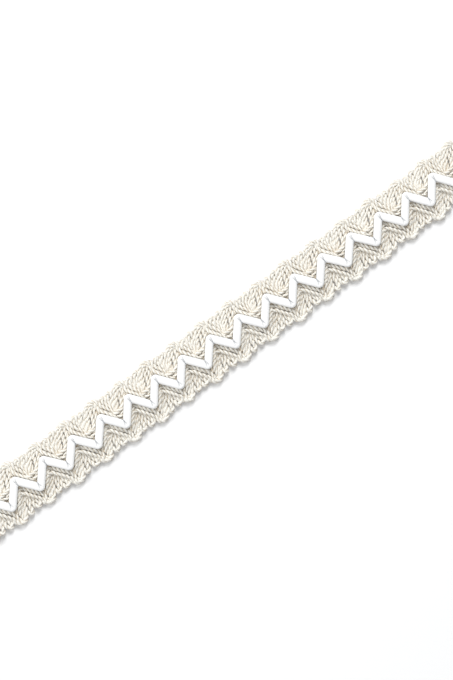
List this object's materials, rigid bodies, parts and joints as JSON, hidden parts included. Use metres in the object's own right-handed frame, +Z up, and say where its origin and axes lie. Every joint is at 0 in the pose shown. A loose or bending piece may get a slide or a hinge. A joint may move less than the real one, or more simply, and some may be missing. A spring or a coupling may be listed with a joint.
{
  "type": "looped gimp braid trimming",
  "caption": "Straight cut length of cream cotton gimp braid, looped along both edges, with a soft white cord zigzagging along its middle.",
  "frame": {"origin": "middle of the length and width, on the surface that the braid lies on, under the middle of one leg of the zigzag cord", "axes": "+X along the braid, +Y across it to the row with a loop pair over the tip at x = -2.25 mm, +Z up from the surface"},
  "size_m": [0.171, 0.016, 0.0027],
  "materials": {
    "cream_cotton": "matt cream plied cotton cord, with slanting plies and a fine fuzz",
    "white_cord": "smooth soft white cord with a faint silky sheen, creased at each bend"
  },
  "bodies": {
    "root": {"upper_loops": "cream_cotton", "lower_loops": "cream_cotton", "zigzag_cord": "white_cord"}
  },
  "joints": []
}
